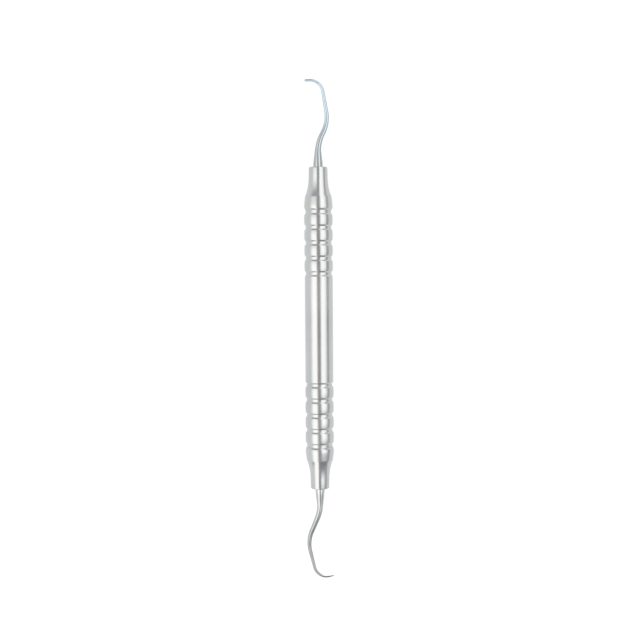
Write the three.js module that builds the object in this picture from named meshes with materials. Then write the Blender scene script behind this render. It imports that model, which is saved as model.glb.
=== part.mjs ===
// Double-ended hand scaler: a hollow steel handle with a hooked scaling tip pressed into each end.
//
// Millimetres, +Z up. The instrument lies on its side on z = 0. Its handle runs along Y, with the upper
// tip at +Y and the lower tip at -Y, and both tips are bent in the flat plane through the handle's axis.
// Every piece is round before it is bent, so each one starts as an outline turned about the Y axis.

import * as THREE from 'three';

// ---- Driving dimensions -------------------------------------------------------------------------

const handleLength = 113; // between the two nose faces
const handleRadius = 5;

const barrel = {
  plainRadius: 4.9, // the smooth middle, a little under the beads
  boreRadius: 4.1,
  edgeBreak: 0.15,
};

const grip = {
  grooves: 5, // at each end of the barrel
  firstGroove: 19.5, // from the middle of the handle to the middle of the innermost groove
  pitch: 5.35,
  width: 1.4,
  floorRadius: 4.5,
  beadEdgeRadius: 4.88, // the beads between the grooves swell to the handle's full radius
};

const nose = {
  faceRadius: 3.25,
  neckRadius: 3.32,
  neckLength: 3, // nearly straight, before the nose flares
  flareTurn: 7.2, // from the end face to where the lines of the neck and of the flare's steep end meet
  crease: 10.2, // from the end face to the crease between the flare and the shoulder
  creaseRadius: 4.62,
  shoulderTurn: 12.9,
  shoulder: 13.6, // from the end face to where the shoulder has swelled to the handle's radius
  faceRounding: 0.4,
  mouthChamfer: 0.25,
  socketDepth: 10.5,
  cavityRadius: 3,
  spigotLength: 8,
  spigotChamfer: 0.3,
};

const tang = {
  radius: 1.65,
  length: 9.5,
  chamfer: 0.4,
};

const shank = {
  rootRadius: 1.22, // what the even taper would measure at the nose face, without the neck's flare
  flareLength: 7,
  outBendRadius: 14,
  backBendRadius: 11.5,
  hookRadius: 4.5,
};

// Each tip leaves the nose straight, bends out to one side, bends back across the axis and ends in its
// hook. The two are a left and right pair, bent by hand, so their sizes differ a little and their faces
// tilt opposite ways. Angles are in degrees.
const upperTip = {
  reach: 30.3, // from the nose face to the far side of the hook
  neck: 4.9,
  outBend: 25.5,
  slant: 1.5,
  backBend: 35,
  hookBend: 82,
  toe: 1.8, // straight end of the blade, past the hook's bend
  hookStartRadius: 0.56,
  toeRadius: 0.46,
  faceTilt: 35,
};
const lowerTip = {
  reach: 32.3,
  neck: 5.6,
  outBend: 23,
  slant: 4.8,
  backBend: 37,
  hookBend: 87,
  toe: 1.7,
  hookStartRadius: 0.52,
  toeRadius: 0.17,
  faceTilt: -35,
};

// Depths of the blade's flat face are from the centre line of the stock, as shares of its radius.
const blade = {
  length: 5.4, // the part of the hook with a ground face
  runIn: 1.6, // over which the face comes in from the round surface
  faceDepth: 0.3,
  uncutDepth: 1.1, // clear of the corners of the faceted stock
};

const pressGap = 0.05; // all round the pressed joints, and between the nose shoulder and the barrel

// ---- Turned and bent solids ---------------------------------------------------------------------

const facets = 36;
const tipFacets = 16;
const flareSteps = 5;
const shoulderSteps = 3;
const shankSteps = 26;
const hookSteps = 18;
const toeSteps = 4;
const reachSamples = 400;

// A solid of revolution about Y. The outline is a list of [radius, y] points that starts and ends on the
// axis or closes on itself. Radii are kept across the flats, and a flat faces each of +X, -X, +Z and -Z.
function turned(outline, sides) {
  const halfFacet = Math.PI / sides;
  const points = outline.map(([radius, y]) => new THREE.Vector2(radius / Math.cos(halfFacet), y));
  return new THREE.LatheGeometry(points, sides, halfFacet);
}

// Points of a curve that leaves one [radius, y] point towards a corner and ends coming from it.
function curve(start, corner, end, steps) {
  const bezier = new THREE.QuadraticBezierCurve(
    new THREE.Vector2(...start),
    new THREE.Vector2(...corner),
    new THREE.Vector2(...end),
  );
  return bezier.getPoints(steps).map((point) => [point.x, point.y]);
}

const bend = (degrees, radius) => ({ length: THREE.MathUtils.degToRad(Math.abs(degrees)) * radius, degrees });
const straight = (length) => ({ length, degrees: 0 });

// Where a wire made of straight runs and round bends lies at a distance along it, and its heading there.
// It starts at the origin along +Y, and a positive bend turns it towards +X.
function wireAt(runs, distance) {
  const at = { x: 0, y: 0, heading: 0 };
  let left = distance;
  for (const run of runs) {
    const step = Math.min(left, run.length);
    const turn = (THREE.MathUtils.degToRad(run.degrees) * step) / run.length;
    const chord = turn === 0 ? step : (step * Math.sin(turn / 2)) / (turn / 2);
    at.x += chord * Math.sin(at.heading + turn / 2);
    at.y += chord * Math.cos(at.heading + turn / 2);
    at.heading += turn;
    left -= step;
  }
  return at;
}

const totalLength = (runs) => runs.reduce((sum, run) => sum + run.length, 0);

// ---- Barrel -------------------------------------------------------------------------------------

const lastGroove = grip.firstGroove + (grip.grooves - 1) * grip.pitch;
const shoulderY = lastGroove + grip.width / 2; // where the nose's shoulder closes the outermost groove

// Outline of the gripped half of the barrel, from the plain middle out to the end face.
function gripOutline() {
  const outline = [[barrel.plainRadius, grip.firstGroove - grip.width / 2]];
  for (let i = 0; i < grip.grooves; i++) {
    const start = grip.firstGroove + i * grip.pitch - grip.width / 2;
    const end = start + grip.width;
    outline.push([grip.floorRadius, start]);
    if (i < grip.grooves - 1) {
      outline.push([grip.floorRadius, end]);
      outline.push([grip.beadEdgeRadius, end]);
      outline.push([handleRadius, start + (grip.pitch + grip.width) / 2]);
      outline.push([grip.beadEdgeRadius, start + grip.pitch]);
    }
  }
  outline.push([grip.floorRadius, shoulderY - pressGap]);
  return outline;
}

function handleBarrel() {
  const upperHalf = gripOutline();
  const lowerHalf = upperHalf.map(([radius, y]) => [radius, -y]).reverse();
  const end = shoulderY - pressGap;
  const bore = [
    [barrel.boreRadius + barrel.edgeBreak, end],
    [barrel.boreRadius, end - barrel.edgeBreak],
    [barrel.boreRadius, barrel.edgeBreak - end],
    [barrel.boreRadius + barrel.edgeBreak, -end],
  ];
  return turned([...lowerHalf, ...upperHalf, ...bore, lowerHalf[0]], facets);
}

// ---- Nose ---------------------------------------------------------------------------------------

// The nose's own origin is in the middle of its end face, and +Y points out along the tip.
function noseCone() {
  const shoulder = shoulderY - handleLength / 2;
  const spigotRadius = barrel.boreRadius - pressGap;
  const spigotEnd = shoulder - nose.spigotLength;
  const socketRadius = tang.radius + pressGap;
  const crease = [nose.creaseRadius, -nose.crease];
  const shoulderCurve = curve(
    [handleRadius, -nose.shoulder],
    [handleRadius, -nose.shoulderTurn],
    crease,
    shoulderSteps,
  );
  const flareCurve = curve(
    crease,
    [nose.neckRadius, -nose.flareTurn],
    [nose.neckRadius, -nose.neckLength],
    flareSteps,
  );
  const rounding = nose.faceRounding;
  const outside = [
    [nose.cavityRadius, spigotEnd],
    [spigotRadius - nose.spigotChamfer, spigotEnd],
    [spigotRadius, spigotEnd + nose.spigotChamfer],
    [spigotRadius, shoulder],
    [grip.beadEdgeRadius, shoulder],
    ...shoulderCurve,
    ...flareCurve.slice(1),
    [nose.faceRadius, -rounding],
    [nose.faceRadius - rounding * (1 - Math.SQRT1_2), -rounding * (1 - Math.SQRT1_2)],
    [nose.faceRadius - rounding, 0],
  ];
  const socket = [
    [socketRadius + nose.mouthChamfer, 0],
    [socketRadius, -nose.mouthChamfer],
    [socketRadius, -nose.socketDepth],
    [nose.cavityRadius, -nose.socketDepth - (nose.cavityRadius - socketRadius)],
  ];
  return turned([...outside, ...socket, outside[0]], facets);
}

// ---- Tips ---------------------------------------------------------------------------------------

// The tip's bends, in order. The straight run before the hook makes up its reach.
function tipRuns(tip) {
  const runsWith = (terminal) => [
    straight(tip.neck),
    bend(tip.outBend, shank.outBendRadius),
    straight(tip.slant),
    bend(-tip.backBend, shank.backBendRadius),
    straight(terminal),
    bend(-tip.hookBend, shank.hookRadius),
    straight(tip.toe),
  ];
  const firstGuess = 1;
  const missing = tip.reach - reachOf(tip, runsWith(firstGuess));
  const lean = THREE.MathUtils.degToRad(tip.backBend - tip.outBend);
  return runsWith(firstGuess + missing / Math.cos(lean));
}

// How far the round stock reaches from the nose face.
function reachOf(tip, runs) {
  let reach = 0;
  for (let i = 0; i <= reachSamples; i++) {
    const distance = (totalLength(runs) * i) / reachSamples;
    const at = wireAt(runs, distance);
    reach = Math.max(reach, at.y + stockRadius(tip, runs, distance) * Math.abs(Math.sin(at.heading)));
  }
  return reach;
}

const hookLength = (tip) => bend(tip.hookBend, shank.hookRadius).length + tip.toe;

// Radius of the round stock at a distance from the nose face: it flares into the nose, tapers evenly
// along the shank, and then runs down to the toe along the hook.
function stockRadius(tip, runs, distance) {
  const hookStart = totalLength(runs) - hookLength(tip);
  if (distance > hookStart) {
    const share = (distance - hookStart) / hookLength(tip);
    return THREE.MathUtils.lerp(tip.hookStartRadius, tip.toeRadius, share * share);
  }
  const even = THREE.MathUtils.lerp(shank.rootRadius, tip.hookStartRadius, distance / hookStart);
  return THREE.MathUtils.lerp(tang.radius, even, THREE.MathUtils.smoothstep(distance, 0, shank.flareLength));
}

// The straight tip's outline, from the end of its tang to its rounded toe.
function tipOutline(tip, runs) {
  const toeEnd = totalLength(runs);
  const hookStart = toeEnd - hookLength(tip);
  const roundingStart = toeEnd - tip.toeRadius;
  const outline = [
    [0, -tang.length],
    [tang.radius - tang.chamfer, -tang.length],
    [tang.radius, tang.chamfer - tang.length],
    [tang.radius, 0],
  ];
  for (let i = 1; i <= shankSteps; i++) {
    const distance = (hookStart * i) / shankSteps;
    outline.push([stockRadius(tip, runs, distance), distance]);
  }
  for (let i = 1; i <= hookSteps; i++) {
    const distance = THREE.MathUtils.lerp(hookStart, roundingStart, i / hookSteps);
    outline.push([stockRadius(tip, runs, distance), distance]);
  }
  for (let i = 1; i < toeSteps; i++) {
    const angle = ((Math.PI / 2) * i) / toeSteps;
    outline.push([tip.toeRadius * Math.cos(angle), roundingStart + tip.toeRadius * Math.sin(angle)]);
  }
  outline.push([0, toeEnd]);
  return outline;
}

// Cuts the blade's flat face into the straight tip, on the -X side that the hook curls towards, turned
// from there towards +Z by the face's tilt.
function grindFace(geometry, tip, runs) {
  const tilt = THREE.MathUtils.degToRad(tip.faceTilt);
  const normal = new THREE.Vector3(-Math.cos(tilt), 0, Math.sin(tilt));
  const faceStart = totalLength(runs) - blade.length;
  const position = geometry.attributes.position;
  const point = new THREE.Vector3();
  for (let i = 0; i < position.count; i++) {
    point.fromBufferAttribute(position, i);
    const cut = THREE.MathUtils.smoothstep(point.y, faceStart, faceStart + blade.runIn);
    const share = THREE.MathUtils.lerp(blade.uncutDepth, blade.faceDepth, cut);
    const depth = stockRadius(tip, runs, point.y) * share;
    const proud = Math.max(point.dot(normal) - depth, 0);
    point.addScaledVector(normal, -proud);
    position.setXYZ(i, point.x, point.y, point.z);
  }
}

// Bends a straight solid so that its Y axis follows the wire.
function bendAlong(geometry, runs) {
  const position = geometry.attributes.position;
  for (let i = 0; i < position.count; i++) {
    const at = wireAt(runs, position.getY(i));
    const side = position.getX(i);
    position.setX(i, at.x + side * Math.cos(at.heading));
    position.setY(i, at.y - side * Math.sin(at.heading));
  }
  geometry.computeVertexNormals();
}

// The tip's own origin is where it leaves the nose, and its shank bends towards +X first.
function scalingTip(tip) {
  const runs = tipRuns(tip);
  const geometry = turned(tipOutline(tip, runs), tipFacets);
  grindFace(geometry, tip, runs);
  bendAlong(geometry, runs);
  return geometry;
}

// ---- Assembly -----------------------------------------------------------------------------------

const satinSteel = { color: 0xc9cacb, roughness: 0.28, metalness: 1 };
const tipSteel = { color: 0xb9bfc4, roughness: 0.18, metalness: 1 };

function piece(name, geometry, finish) {
  const mesh = new THREE.Mesh(geometry, new THREE.MeshStandardMaterial(finish));
  mesh.name = name;
  return mesh;
}

// One end of the instrument, about the middle of its nose face, with +Y pointing out along the tip.
function handleEnd(name, tip) {
  const end = new THREE.Group();
  end.add(piece(`${name}_nose_cone`, noseCone(), satinSteel));
  end.add(piece(`${name}_tip`, scalingTip(tip), tipSteel));
  return end;
}

// The origin is under the middle of the whole length, tips included.
const scaler = new THREE.Group();
scaler.position.set(0, (lowerTip.reach - upperTip.reach) / 2, handleRadius);
scaler.add(piece('handle_barrel', handleBarrel(), satinSteel));

const upperEnd = handleEnd('upper', upperTip);
upperEnd.position.y = handleLength / 2;
scaler.add(upperEnd);

// The lower end is turned half round, so its hook curls the other way.
const lowerEnd = handleEnd('lower', lowerTip);
lowerEnd.position.y = -handleLength / 2;
lowerEnd.rotation.z = Math.PI;
scaler.add(lowerEnd);

export default scaler;
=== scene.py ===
"""Looks for the double-ended hand scaler: a satin steel handle and two polished tips on a white table.

Sizes are in millimetres about the handle's own axis, and become metres when a mesh is made. The
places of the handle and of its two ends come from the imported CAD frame.
"""

import math
from types import SimpleNamespace as Sizes

import bpy
from mathutils import Matrix, Vector


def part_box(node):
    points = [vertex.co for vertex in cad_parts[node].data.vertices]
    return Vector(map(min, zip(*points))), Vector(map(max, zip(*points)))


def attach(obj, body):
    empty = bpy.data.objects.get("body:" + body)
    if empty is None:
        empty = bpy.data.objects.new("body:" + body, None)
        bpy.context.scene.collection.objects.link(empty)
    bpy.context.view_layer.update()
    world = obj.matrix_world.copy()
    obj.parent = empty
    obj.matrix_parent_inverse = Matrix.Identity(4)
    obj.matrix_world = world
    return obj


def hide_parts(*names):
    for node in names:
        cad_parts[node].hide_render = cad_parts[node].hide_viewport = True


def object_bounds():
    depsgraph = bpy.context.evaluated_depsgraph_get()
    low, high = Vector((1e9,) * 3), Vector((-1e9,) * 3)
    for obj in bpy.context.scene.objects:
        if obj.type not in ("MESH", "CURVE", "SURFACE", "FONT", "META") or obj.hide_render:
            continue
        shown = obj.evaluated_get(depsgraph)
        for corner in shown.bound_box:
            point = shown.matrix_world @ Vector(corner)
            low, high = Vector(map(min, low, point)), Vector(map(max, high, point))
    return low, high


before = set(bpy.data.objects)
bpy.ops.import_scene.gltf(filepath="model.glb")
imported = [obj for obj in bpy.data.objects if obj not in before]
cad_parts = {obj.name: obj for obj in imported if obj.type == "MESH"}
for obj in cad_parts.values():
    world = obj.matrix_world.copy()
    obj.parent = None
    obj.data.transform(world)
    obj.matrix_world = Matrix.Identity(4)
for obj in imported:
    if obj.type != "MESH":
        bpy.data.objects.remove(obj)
cad_low, cad_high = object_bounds()

MM = 0.001

# ---- Places, from the CAD frame -----------------------------------------------------------------

barrel_low, barrel_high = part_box("handle_barrel")
AXIS_HEIGHT = (barrel_low.z + barrel_high.z) / 2
UPPER_FACE_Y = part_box("upper_nose_cone")[1].y
LOWER_FACE_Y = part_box("lower_nose_cone")[0].y
HANDLE_MIDDLE_Y = (UPPER_FACE_Y + LOWER_FACE_Y) / 2
HANDLE_LENGTH = (UPPER_FACE_Y - LOWER_FACE_Y) / MM
HANDLE_RADIUS = (barrel_high.x - barrel_low.x) / 2 / MM
BARREL_END = (barrel_high.y - HANDLE_MIDDLE_Y) / MM  # from the handle's middle
UPPER_REACH = (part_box("upper_tip")[1].y - UPPER_FACE_Y) / MM
LOWER_REACH = (LOWER_FACE_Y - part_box("lower_tip")[0].y) / MM

# ---- Driving sizes ------------------------------------------------------------------------------

barrel = Sizes(plain_radius=4.9, bore_radius=4.1, edge_break=0.15)
grip = Sizes(
    grooves=5,
    first_groove=19.5,  # from the handle's middle to the middle of the innermost groove
    pitch=5.35,
    width=1.4,  # between the middles of the groove's two walls
    wall_run=0.46,  # how far each wall slopes along the handle
    floor_radius=4.5,
    bead_edge_radius=4.88,
    edge_rounding=0.22,
    floor_rounding=0.12,
)
nose = Sizes(
    face_radius=3.25,
    neck_radius=3.32,
    neck_length=3.0,
    flare_turn=7.2,  # where the lines of the neck and of the flare's steep end would meet
    crease_radius=4.62,
    crease=10.2,  # from the end face to the crease between the flare and the shoulder
    shoulder_turn=12.9,
    shoulder=13.6,  # from the end face to where the shoulder has swelled to the handle's radius
    face_rounding=0.4,
    mouth_chamfer=0.25,
    socket_depth=10.5,
    cavity_radius=3.0,
    spigot_length=8.0,
    spigot_chamfer=0.3,
)
tang = Sizes(radius=1.65, length=9.5, chamfer=0.4)
# A shank leaves its nose straight, bends out, runs on at a slant, bends back, runs straight again, and ends
# in a hook with a short straight toe. Bends and tilts are in degrees.
shank = Sizes(root_radius=1.22, flare_length=7.0, out_radius=14.0, back_radius=11.5, hook_radius=4.5)
upper_tip = Sizes(
    reach=UPPER_REACH,
    neck=4.9,
    out_bend=25.5,
    slant=1.5,
    back_bend=35.0,
    hook_bend=82.0,
    toe=1.8,
    hook_start_radius=0.56,
    toe_radius=0.46,
    face_tilt=35.0,
)
lower_tip = Sizes(
    reach=LOWER_REACH,
    neck=5.6,
    out_bend=23.0,
    slant=4.8,
    back_bend=37.0,
    hook_bend=87.0,
    toe=1.7,
    hook_start_radius=0.52,
    toe_radius=0.17,
    face_tilt=-35.0,
)
blade = Sizes(length=5.4, run_in=1.6, face_depth=0.3)
press_gap = 0.05  # left round the spigots and tangs

# ---- Meshes -------------------------------------------------------------------------------------

TURNED_SIDES = 160
ARC_STEP = math.radians(15)
SHARP_ANGLE = math.radians(35)


def make_piece(name, points, faces):
    """A smooth-shaded object whose points are millimetres about its own origin."""
    mesh = bpy.data.meshes.new(name)
    mesh.from_pydata([Vector(p) * MM for p in points], [], faces)
    mesh.shade_smooth()
    mesh.set_sharp_from_angle(angle=SHARP_ANGLE)
    piece = bpy.data.objects.new(name, mesh)
    bpy.context.scene.collection.objects.link(piece)
    even_out = piece.modifiers.new("even_shading", "WEIGHTED_NORMAL")
    even_out.keep_sharp = True
    return piece


def rounded(corners):
    """A smooth closed outline from (radius, y, rounding) corners, with an arc in each rounded one."""
    outline = []
    for i, (radius, y, rounding) in enumerate(corners):
        corner = Vector((radius, y))
        if rounding == 0:
            outline.append(corner)
            continue
        to_last = (Vector(corners[i - 1][:2]) - corner).normalized()
        to_next = (Vector(corners[(i + 1) % len(corners)][:2]) - corner).normalized()
        half = to_last.angle(to_next) / 2
        centre = corner + (to_last + to_next).normalized() * (rounding / math.sin(half))
        start = corner + to_last * (rounding / math.tan(half)) - centre
        turn = start.angle_signed(corner + to_next * (rounding / math.tan(half)) - centre)
        steps = max(2, math.ceil(abs(turn) / ARC_STEP))
        for step in range(steps + 1):
            spin = Matrix.Rotation(-turn * step / steps, 2)
            outline.append(centre + spin @ start)
    return outline


def turned(name, outline):
    """A solid turned about its Y axis from a closed outline of (radius, y) points."""
    points = []
    for radius, y in outline:
        for side in range(TURNED_SIDES):
            angle = 2 * math.pi * side / TURNED_SIDES
            points.append((radius * math.sin(angle), y, radius * math.cos(angle)))
    faces = []
    for ring in range(len(outline)):
        here = ring * TURNED_SIDES
        there = (ring + 1) % len(outline) * TURNED_SIDES
        for side in range(TURNED_SIDES):
            across = (side + 1) % TURNED_SIDES
            faces.append((here + side, here + across, there + across, there + side))
    return make_piece(name, points, faces)


# ---- Barrel -------------------------------------------------------------------------------------

BEAD_STEPS = 10


def grip_corners():
    """Corners of the barrel's outside, from its plain middle out to one end."""
    corners = []
    for i in range(grip.grooves):
        middle = grip.first_groove + i * grip.pitch
        top = (grip.width + grip.wall_run) / 2
        floor = (grip.width - grip.wall_run) / 2
        edge = barrel.plain_radius if i == 0 else grip.bead_edge_radius
        corners.append((edge, middle - top, grip.edge_rounding))
        corners.append((grip.floor_radius, middle - floor, grip.floor_rounding))
        if i == grip.grooves - 1:  # its outer wall is the nose's
            corners.append((grip.floor_radius, BARREL_END, 0))
            return corners
        corners.append((grip.floor_radius, middle + floor, grip.floor_rounding))
        corners.append((grip.bead_edge_radius, middle + top, grip.edge_rounding))
        half_bead = grip.pitch / 2 - top
        for step in range(1, BEAD_STEPS):
            along = 2 * step / BEAD_STEPS - 1
            crown = HANDLE_RADIUS - (HANDLE_RADIUS - grip.bead_edge_radius) * along**2
            corners.append((crown, middle + grip.pitch / 2 + along * half_bead, 0))


def make_barrel():
    upper = grip_corners()
    lower = [(radius, -y, rounding) for radius, y, rounding in reversed(upper)]
    bore = [
        (barrel.bore_radius + barrel.edge_break, BARREL_END, 0),
        (barrel.bore_radius, BARREL_END - barrel.edge_break, 0),
        (barrel.bore_radius, barrel.edge_break - BARREL_END, 0),
        (barrel.bore_radius + barrel.edge_break, -BARREL_END, 0),
    ]
    return turned("satin_barrel", rounded(lower + upper + bore))


# ---- Noses --------------------------------------------------------------------------------------

CURVE_STEPS = 16


def curve(start, corner, end):
    """Points of a curve that leaves one (radius, y) point towards a corner and ends coming from it."""
    points = []
    for step in range(CURVE_STEPS + 1):
        share = step / CURVE_STEPS
        first = Vector(start).lerp(Vector(corner), share)
        second = Vector(corner).lerp(Vector(end), share)
        radius, y = first.lerp(second, share)
        points.append((radius, y, 0))
    return points


def make_nose(name):
    """A nose about the middle of its end face, with +Y pointing out along the tip."""
    shoulder = BARREL_END + press_gap - HANDLE_LENGTH / 2
    spigot_radius = barrel.bore_radius - press_gap
    spigot_end = shoulder - nose.spigot_length
    socket_radius = tang.radius + press_gap
    cavity_start = -nose.socket_depth - (nose.cavity_radius - socket_radius)  # after a slope of 45 degrees
    crease = (nose.crease_radius, -nose.crease)
    corners = [
        (nose.cavity_radius, spigot_end, 0),
        (spigot_radius - nose.spigot_chamfer, spigot_end, 0),
        (spigot_radius, spigot_end + nose.spigot_chamfer, 0),
        (spigot_radius, shoulder, 0),
        (grip.floor_radius, shoulder, 0),
        (grip.bead_edge_radius, shoulder + grip.wall_run, grip.edge_rounding),
        *curve((HANDLE_RADIUS, -nose.shoulder), (HANDLE_RADIUS, -nose.shoulder_turn), crease),
        *curve(crease, (nose.neck_radius, -nose.flare_turn), (nose.neck_radius, -nose.neck_length))[1:],
        (nose.face_radius, 0, nose.face_rounding),
        (socket_radius + nose.mouth_chamfer, 0, 0),
        (socket_radius, -nose.mouth_chamfer, 0),
        (socket_radius, -nose.socket_depth, 0),
        (nose.cavity_radius, cavity_start, 0),
    ]
    return turned(name, rounded(corners))


# ---- Tips ---------------------------------------------------------------------------------------

SHANK_RINGS = 120
HOOK_RINGS = 70
TOE_RINGS = 8
FACE_HALF_POINTS = 5
BACK_POINTS = 38
POINTS_AROUND = 2 * FACE_HALF_POINTS + BACK_POINTS
ROUND_FACE_ANGLE = math.pi * 2 * FACE_HALF_POINTS / POINTS_AROUND


def smooth_step(value, low, high):
    share = min(max((value - low) / (high - low), 0), 1)
    return share * share * (3 - 2 * share)


def lerp(start, end, share):
    return start + (end - start) * share


def wire_at(runs, distance):
    """Where a wire of (length, turn) runs is at a distance along it, and its heading from +Y to +X."""
    x = y = heading = 0.0
    left = distance
    for length, turn in runs:
        step = min(left, length)
        swing = turn * step / length
        chord = step if swing == 0 else step * math.sin(swing / 2) / (swing / 2)
        x += chord * math.sin(heading + swing / 2)
        y += chord * math.cos(heading + swing / 2)
        heading += swing
        left -= step
    return x, y, heading


def hook_length(tip):
    return math.radians(tip.hook_bend) * shank.hook_radius + tip.toe


def wire_length(runs):
    return sum(length for length, _ in runs)


def stock_radius(tip, runs, distance):
    """Radius of the round stock, which flares into the nose and runs down to the toe."""
    hook_start = wire_length(runs) - hook_length(tip)
    if distance > hook_start:
        share = (distance - hook_start) / hook_length(tip)
        return lerp(tip.hook_start_radius, tip.toe_radius, share * share)
    even = lerp(shank.root_radius, tip.hook_start_radius, distance / hook_start)
    return lerp(tang.radius, even, smooth_step(distance, 0, shank.flare_length))


def tip_runs(tip):
    """The tip's runs, with the straight before the hook as long as the tip's reach needs."""

    def runs_with(terminal):
        out = math.radians(tip.out_bend)
        back = math.radians(tip.back_bend)
        hook = math.radians(tip.hook_bend)
        return [
            (tip.neck, 0),
            (out * shank.out_radius, out),
            (tip.slant, 0),
            (back * shank.back_radius, -back),
            (terminal, 0),
            (hook * shank.hook_radius, -hook),
            (tip.toe, 0),
        ]

    def reach_of(runs):
        samples = 400
        reach = 0
        for i in range(samples + 1):
            distance = wire_length(runs) * i / samples
            _, y, heading = wire_at(runs, distance)
            reach = max(reach, y + stock_radius(tip, runs, distance) * abs(math.sin(heading)))
        return reach

    first_guess = 1.0
    missing = tip.reach - reach_of(runs_with(first_guess))
    lean = math.radians(tip.back_bend - tip.out_bend)
    return runs_with(first_guess + missing / math.cos(lean))


def section(radius, depth, tilt):
    """A round section with a flat at a depth from its middle, on the -X side turned towards +Z."""
    normal = Vector((-math.cos(tilt), math.sin(tilt)))
    along = Vector((math.sin(tilt), math.cos(tilt)))
    cut = math.acos(min(depth / radius, 1))
    edge = max(cut, ROUND_FACE_ANGLE)
    points = []
    for i in range(-FACE_HALF_POINTS, FACE_HALF_POINTS + 1):
        share = i / FACE_HALF_POINTS
        if cut > ROUND_FACE_ANGLE:
            points.append(normal * depth + along * (radius * math.sin(edge) * share))
        else:
            angle = edge * share
            height = min(radius * math.cos(angle), depth)
            points.append(normal * height + along * (radius * math.sin(angle)))
    for i in range(1, BACK_POINTS):
        angle = lerp(edge, 2 * math.pi - edge, i / BACK_POINTS)
        points.append(normal * (radius * math.cos(angle)) + along * (radius * math.sin(angle)))
    return points


def tip_rings(tip, runs):
    """(distance, radius, face depth) of each ring, from the end of the tang to the toe."""
    toe_end = wire_length(runs)
    hook_start = toe_end - hook_length(tip)
    face_start = toe_end - blade.length
    toe_start = toe_end - tip.toe_radius
    rings = [
        (-tang.length, tang.radius - tang.chamfer, tang.radius),
        (tang.chamfer - tang.length, tang.radius, tang.radius),
    ]
    for i in range(SHANK_RINGS):
        distance = hook_start * i / SHANK_RINGS
        radius = stock_radius(tip, runs, distance)
        rings.append((distance, radius, radius))
    for i in range(HOOK_RINGS + 1):
        distance = lerp(hook_start, toe_start, i / HOOK_RINGS)
        radius = stock_radius(tip, runs, distance)
        cut = smooth_step(distance, face_start, face_start + blade.run_in)
        rings.append((distance, radius, radius * lerp(1, blade.face_depth, cut)))
    for i in range(1, TOE_RINGS):
        angle = math.pi / 2 * i / TOE_RINGS
        distance = toe_start + tip.toe_radius * math.sin(angle)
        rings.append((distance, tip.toe_radius * math.cos(angle), tip.toe_radius * blade.face_depth))
    return rings


def make_tip(name, tip):
    """A tip about the point where it leaves its nose, with its shank bending towards +X first."""
    runs = tip_runs(tip)
    points = [(0, -tang.length, 0)]
    for distance, radius, depth in tip_rings(tip, runs):
        x, y, heading = wire_at(runs, distance)
        for side, up in section(radius, depth, math.radians(tip.face_tilt)):
            points.append((x + side * math.cos(heading), y - side * math.sin(heading), up))
    x, y, _ = wire_at(runs, wire_length(runs))
    points.append((x, y, 0))

    toe_end = len(points) - 1
    last_ring = toe_end - POINTS_AROUND
    faces = []
    for side in range(POINTS_AROUND):
        across = (side + 1) % POINTS_AROUND
        faces.append((0, 1 + across, 1 + side))
        for here in range(1, last_ring, POINTS_AROUND):
            there = here + POINTS_AROUND
            faces.append((here + side, here + across, there + across, there + side))
        faces.append((last_ring + side, last_ring + across, toe_end))
    return make_piece(name, points, faces)


# ---- Materials ----------------------------------------------------------------------------------

# Each steel's two shades: the darkest and lightest on the handle, and on a tip painted reflection and shade
# at the nose and at the toe.
HANDLE_SHADES = ((0.473, 0.481, 0.484), (0.523, 0.531, 0.534))
UPPER_TIP_PAINTED_SHADING = ((0.385, 0.405, 0.41), (0.45, 0.535, 0.595))
LOWER_TIP_PAINTED_SHADING = ((0.53, 0.55, 0.56), (0.31, 0.325, 0.33))
TIP_PAINTED_SHADING_RUN = 20.0  # from the nose's end face to where a tip's painted reflection and shade reaches the toe's shade
MARK_DEPTH = 0.01 * MM  # of the fine marks that polishing leaves
WHITE = (1, 1, 1, 1)
NOISE_LOW = 0.3  # most of a noise lies between these two
NOISE_HIGH = 0.7


class Nodes:
    """Short calls for building one node tree."""

    def __init__(self, tree):
        self.tree = tree

    def add(self, kind, inputs=(), **settings):
        node = self.tree.nodes.new(kind)
        for key, value in settings.items():
            setattr(node, key, value)
        for key, value in dict(inputs).items():
            self.set(node, key, value)
        return node

    def set(self, node, key, value):
        if isinstance(value, bpy.types.NodeSocket):
            self.tree.links.new(value, node.inputs[key])
        else:
            node.inputs[key].default_value = value

    def math(self, operation, *values):
        return self.add("ShaderNodeMath", enumerate(values), operation=operation).outputs[0]

    def scaled(self, vector, factors):
        return self.add("ShaderNodeVectorMath", {0: vector, 1: factors}, operation="MULTIPLY").outputs[0]

    def noise(self, place, frequency, detail):
        """Noise over a place in millimetres, with its own frequency along each axis."""
        inputs = {"Vector": self.scaled(place, frequency), "Scale": 1.0, "Detail": detail}
        return self.add("ShaderNodeTexNoise", inputs).outputs["Fac"]

    def spread(self, value, low, high, start, end, smooth=False):
        """value brought from start..end to low..high, and held there beyond."""
        inputs = {"Value": value, "From Min": start, "From Max": end, "To Min": low, "To Max": high}
        ease = "SMOOTHSTEP" if smooth else "LINEAR"
        return self.add("ShaderNodeMapRange", inputs, interpolation_type=ease).outputs["Result"]

    def vary(self, noise, low, high):
        """low to high, as a noise varies over the range that most of it lies in."""
        return self.spread(noise, low, high, NOISE_LOW, NOISE_HIGH)

    def mix(self, share, first, second, label=""):
        """A colour that goes from the first to the second as share goes from 0 to 1."""
        inputs = {"Factor": share, "A": first, "B": second}
        return self.add("ShaderNodeMix", inputs, data_type="RGBA", label=label).outputs["Result"]


def new_material(name):
    """An empty Principled material, its node helper and its shader."""
    material = bpy.data.materials.new(name)
    material.use_nodes = True
    nodes = Nodes(material.node_tree)
    shader = material.node_tree.nodes["Principled BSDF"]
    return material, nodes, shader


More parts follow.
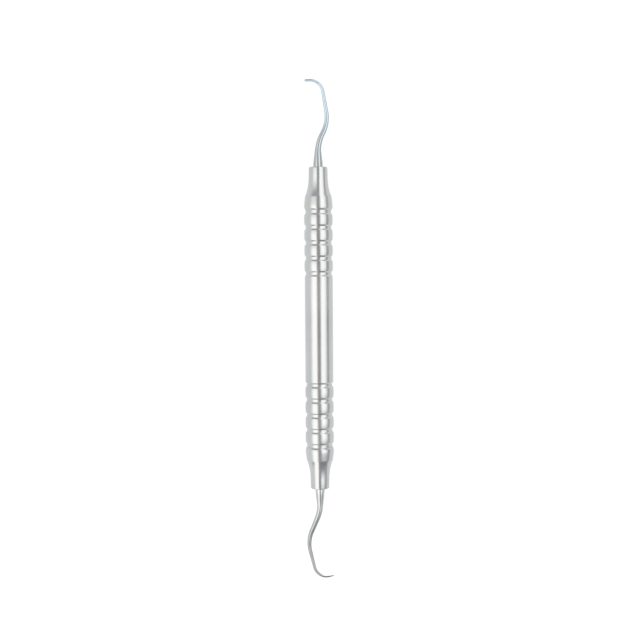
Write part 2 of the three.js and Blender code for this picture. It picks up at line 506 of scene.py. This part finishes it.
def turned_coordinates(nodes):
    """Places on a turned surface in millimetres: round it, along it, and out from its axis."""
    place = nodes.add("ShaderNodeTexCoord").outputs["Object"]
    x, y, z = nodes.add("ShaderNodeSeparateXYZ", {0: place}).outputs
    angle = nodes.math("ARCTAN2", x, z)
    out = nodes.math("SQRT", nodes.math("ADD", nodes.math("MULTIPLY", x, x), nodes.math("MULTIPLY", z, z)))
    inputs = {
        0: nodes.math("MULTIPLY", angle, HANDLE_RADIUS),
        1: nodes.math("DIVIDE", y, MM),
        2: nodes.math("DIVIDE", out, MM),
    }
    return nodes.add("ShaderNodeCombineXYZ", inputs).outputs[0]


def finish_steel(nodes, shader, shades, share, roughness, marks, strength):
    """Makes a shader bare steel, between two shades, with fine marks standing up from it."""
    first, second = shades
    bump = nodes.add("ShaderNodeBump", {"Height": marks, "Strength": strength, "Distance": MARK_DEPTH})
    shader.inputs["Metallic"].default_value = 1.0
    nodes.set(shader, "Base Color", nodes.mix(share, (*first, 1), (*second, 1)))
    nodes.set(shader, "Roughness", roughness)
    nodes.set(shader, "Normal", bump.outputs["Normal"])


def satin_steel():
    """Turned stainless steel, polished round and round, so its marks are fine rings."""
    material, nodes, shader = new_material("satin_handle_steel")
    place = turned_coordinates(nodes)
    rings = nodes.noise(place, frequency=(0.02, 9.0, 9.0), detail=3.0)
    scratches = nodes.noise(place, frequency=(0.35, 30.0, 30.0), detail=2.0)
    smudges = nodes.noise(place, frequency=(0.12, 0.09, 0.1), detail=4.0)

    ring_share = 0.6
    ring_part = nodes.math("MULTIPLY", rings, ring_share)
    scratch_part = nodes.math("MULTIPLY", scratches, 1 - ring_share)
    marks = nodes.math("ADD", ring_part, scratch_part)

    share = nodes.vary(smudges, low=0, high=1)
    smooth_roughness = nodes.vary(smudges, low=0.12, high=0.2)
    added_roughness = nodes.vary(marks, low=0, high=0.06)
    roughness = nodes.math("ADD", smooth_roughness, added_roughness)
    finish_steel(nodes, shader, HANDLE_SHADES, share, roughness, marks, strength=0.12)

    tangent = nodes.add("ShaderNodeTangent", direction_type="RADIAL", axis="Y")
    shader.inputs["Anisotropic"].default_value = 0.4
    nodes.set(shader, "Tangent", tangent.outputs["Tangent"])
    return material


def polished_steel(name, shades):
    """Hardened steel, polished along its bends by hand, with painted reflection and shade: its colour
    changes from the nose to the toe.
    """
    material, nodes, shader = new_material(name)
    metres = nodes.add("ShaderNodeTexCoord").outputs["Object"]
    place = nodes.scaled(metres, (1 / MM, 1 / MM, 1 / MM))
    outward = nodes.add("ShaderNodeSeparateXYZ", {0: place}).outputs["Y"]
    smudges = nodes.noise(place, frequency=(0.35, 0.35, 0.35), detail=3.0)
    grain = nodes.noise(place, frequency=(14.0, 3.0, 14.0), detail=2.0)

    # painted reflection and shade: the colour runs from the nose's shade to the toe's along the tip, with
    # random tone from the smudges
    painted_fade = nodes.spread(outward, 0, 1, 0, TIP_PAINTED_SHADING_RUN)
    share = nodes.math("ADD", painted_fade, nodes.vary(smudges, low=-0.15, high=0.15))
    roughness = nodes.vary(smudges, low=0.07, high=0.14)
    finish_steel(nodes, shader, shades, share, roughness, grain, strength=0.08)
    return material


def white_table():
    """White acrylic lit from below, so that it shows almost no shadow."""
    material, _, shader = new_material("white_table")
    shader.inputs["Base Color"].default_value = (0.2, 0.2, 0.2, 1)
    shader.inputs["Roughness"].default_value = 0.9
    shader.inputs["Specular IOR Level"].default_value = 0.0
    shader.inputs["Emission Color"].default_value = WHITE
    shader.inputs["Emission Strength"].default_value = 0.85
    return material


# ---- The object ---------------------------------------------------------------------------------


def place_piece(piece, node, material, y, half_turned):
    """Puts a piece on the handle's axis, where it stands for its CAD node."""
    piece.location = (0, y, AXIS_HEIGHT)
    piece.rotation_euler.z = math.pi if half_turned else 0
    piece.data.materials.append(material)
    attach(piece, "root")
    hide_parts(node)


handle_steel = satin_steel()
# both tips are the same steel; these two copies differ only in their painted reflection and shade
upper_steel = polished_steel("upper_tip_steel", UPPER_TIP_PAINTED_SHADING)
lower_steel = polished_steel("lower_tip_steel", LOWER_TIP_PAINTED_SHADING)
place_piece(make_barrel(), "handle_barrel", handle_steel, HANDLE_MIDDLE_Y, False)
ends = (
    ("upper", upper_tip, upper_steel, UPPER_FACE_Y, False),
    ("lower", lower_tip, lower_steel, LOWER_FACE_Y, True),
)
for end_name, tip_sizes, tip_steel, face_y, half_turned in ends:
    nose_piece = make_nose(f"satin_{end_name}_nose")
    place_piece(nose_piece, f"{end_name}_nose_cone", handle_steel, face_y, half_turned)
    tip_piece = make_tip(f"polished_{end_name}_tip", tip_sizes)
    place_piece(tip_piece, f"{end_name}_tip", tip_steel, face_y, half_turned)

# ---- Studio -------------------------------------------------------------------------------------

# Soft patches of light all round, each laid over the ones before it. Each fades in, stays full and fades
# out over four angles in degrees: across the handle, from straight up towards +X, and along it towards +Y.
OVERHEAD = (0.5, 0.5, 0.505)
ALL_ROUND = (-181, -180, 180, 181)
PATCHES = {
    "left wall": Sizes(across=(-181, -180, -80, -50), along=(-91, -90, 30, 70), colour=(1.0, 1.08, 1.12)),
    "right wall": Sizes(across=(55, 62, 180, 181), along=(-91, -90, 90, 91), colour=(0.6, 0.6, 0.62)),
    "upper end": Sizes(across=ALL_ROUND, along=(30, 48, 90, 91), colour=(0.6, 0.63, 0.65)),
    "lower end": Sizes(across=ALL_ROUND, along=(-91, -90, -48, -30), colour=(0.42, 0.42, 0.43)),
    "left panel": Sizes(across=(-80, -48, -20, -10), along=(-85, -55, -4, 46), colour=(2.02, 1.95, 1.89)),
    "right panel": Sizes(across=(10, 22, 61, 68), along=(-36, -2, 55, 85), colour=(1.6, 1.58, 1.58)),
    "right lamp": Sizes(across=(10, 22, 40, 56), along=(-36, -2, 55, 85), colour=(1.96, 1.92, 1.92)),
}


def make_table():
    """A level sheet under the instrument, which is no part of it."""
    half = 6.0  # metres
    height = cad_low.z
    corners = [(-half, -half, height), (half, -half, height), (half, half, height), (-half, half, height)]
    mesh = bpy.data.meshes.new("table")
    mesh.from_pydata(corners, [], [(0, 1, 2, 3)])
    mesh.materials.append(white_table())
    table = bpy.data.objects.new("table", mesh)
    bpy.context.scene.collection.objects.link(table)


def between(nodes, angle, edges):
    """1 between the middle two of four angles, fading to 0 at the outer two."""
    start, full, fading, end = edges
    rise = nodes.spread(angle, 0, 1, start, full, smooth=True)
    fall = nodes.spread(angle, 1, 0, fading, end, smooth=True)
    return nodes.math("MULTIPLY", rise, fall)


def make_world():
    """The patches of light all round, and plain white to look at."""
    world = bpy.data.worlds.new("studio")
    bpy.context.scene.world = world
    world.use_nodes = True
    nodes = Nodes(world.node_tree)
    direction = nodes.add("ShaderNodeTexCoord").outputs["Generated"]
    x, y, z = nodes.add("ShaderNodeSeparateXYZ", {0: direction}).outputs
    across = nodes.math("DEGREES", nodes.math("ARCTAN2", x, z))
    along = nodes.math("DEGREES", nodes.math("ARCSINE", y))

    light = (*OVERHEAD, 1)
    for name, patch in PATCHES.items():
        across_share = between(nodes, across, patch.across)
        along_share = between(nodes, along, patch.along)
        share = nodes.math("MULTIPLY", across_share, along_share)
        light = nodes.mix(share, light, (*patch.colour, 1), label=name)

    seen = nodes.add("ShaderNodeLightPath").outputs["Is Camera Ray"]
    nodes.set(world.node_tree.nodes["Background"], "Color", nodes.mix(seen, light, WHITE))


def make_camera():
    """Above the instrument, a little towards its upper end."""
    distance = 400 * MM
    field = 224.5 * MM  # what the frame takes in at the handle's axis
    right_of_axis = 0.342 * MM
    above_middle = 3.176 * MM
    tilt = math.radians(3.918)
    roll = math.radians(0.3675)

    aim = Vector((right_of_axis, HANDLE_MIDDLE_Y + above_middle, AXIS_HEIGHT))
    back = Vector((0, math.sin(tilt), math.cos(tilt)))
    level_up = Vector((0, math.cos(tilt), -math.sin(tilt)))
    level_right = Vector((1, 0, 0))
    right = level_right * math.cos(roll) - level_up * math.sin(roll)
    up = level_right * math.sin(roll) + level_up * math.cos(roll)

    camera_data = bpy.data.cameras.new("camera")
    camera_data.lens = camera_data.sensor_width * distance / field
    camera = bpy.data.objects.new("camera", camera_data)
    bpy.context.scene.collection.objects.link(camera)
    turn = Matrix((right, up, back)).transposed().to_4x4()
    camera.matrix_world = Matrix.Translation(aim + back * distance) @ turn
    bpy.context.scene.camera = camera


make_table()
make_world()
make_camera()
bpy.context.scene.view_settings.view_transform = "Standard"
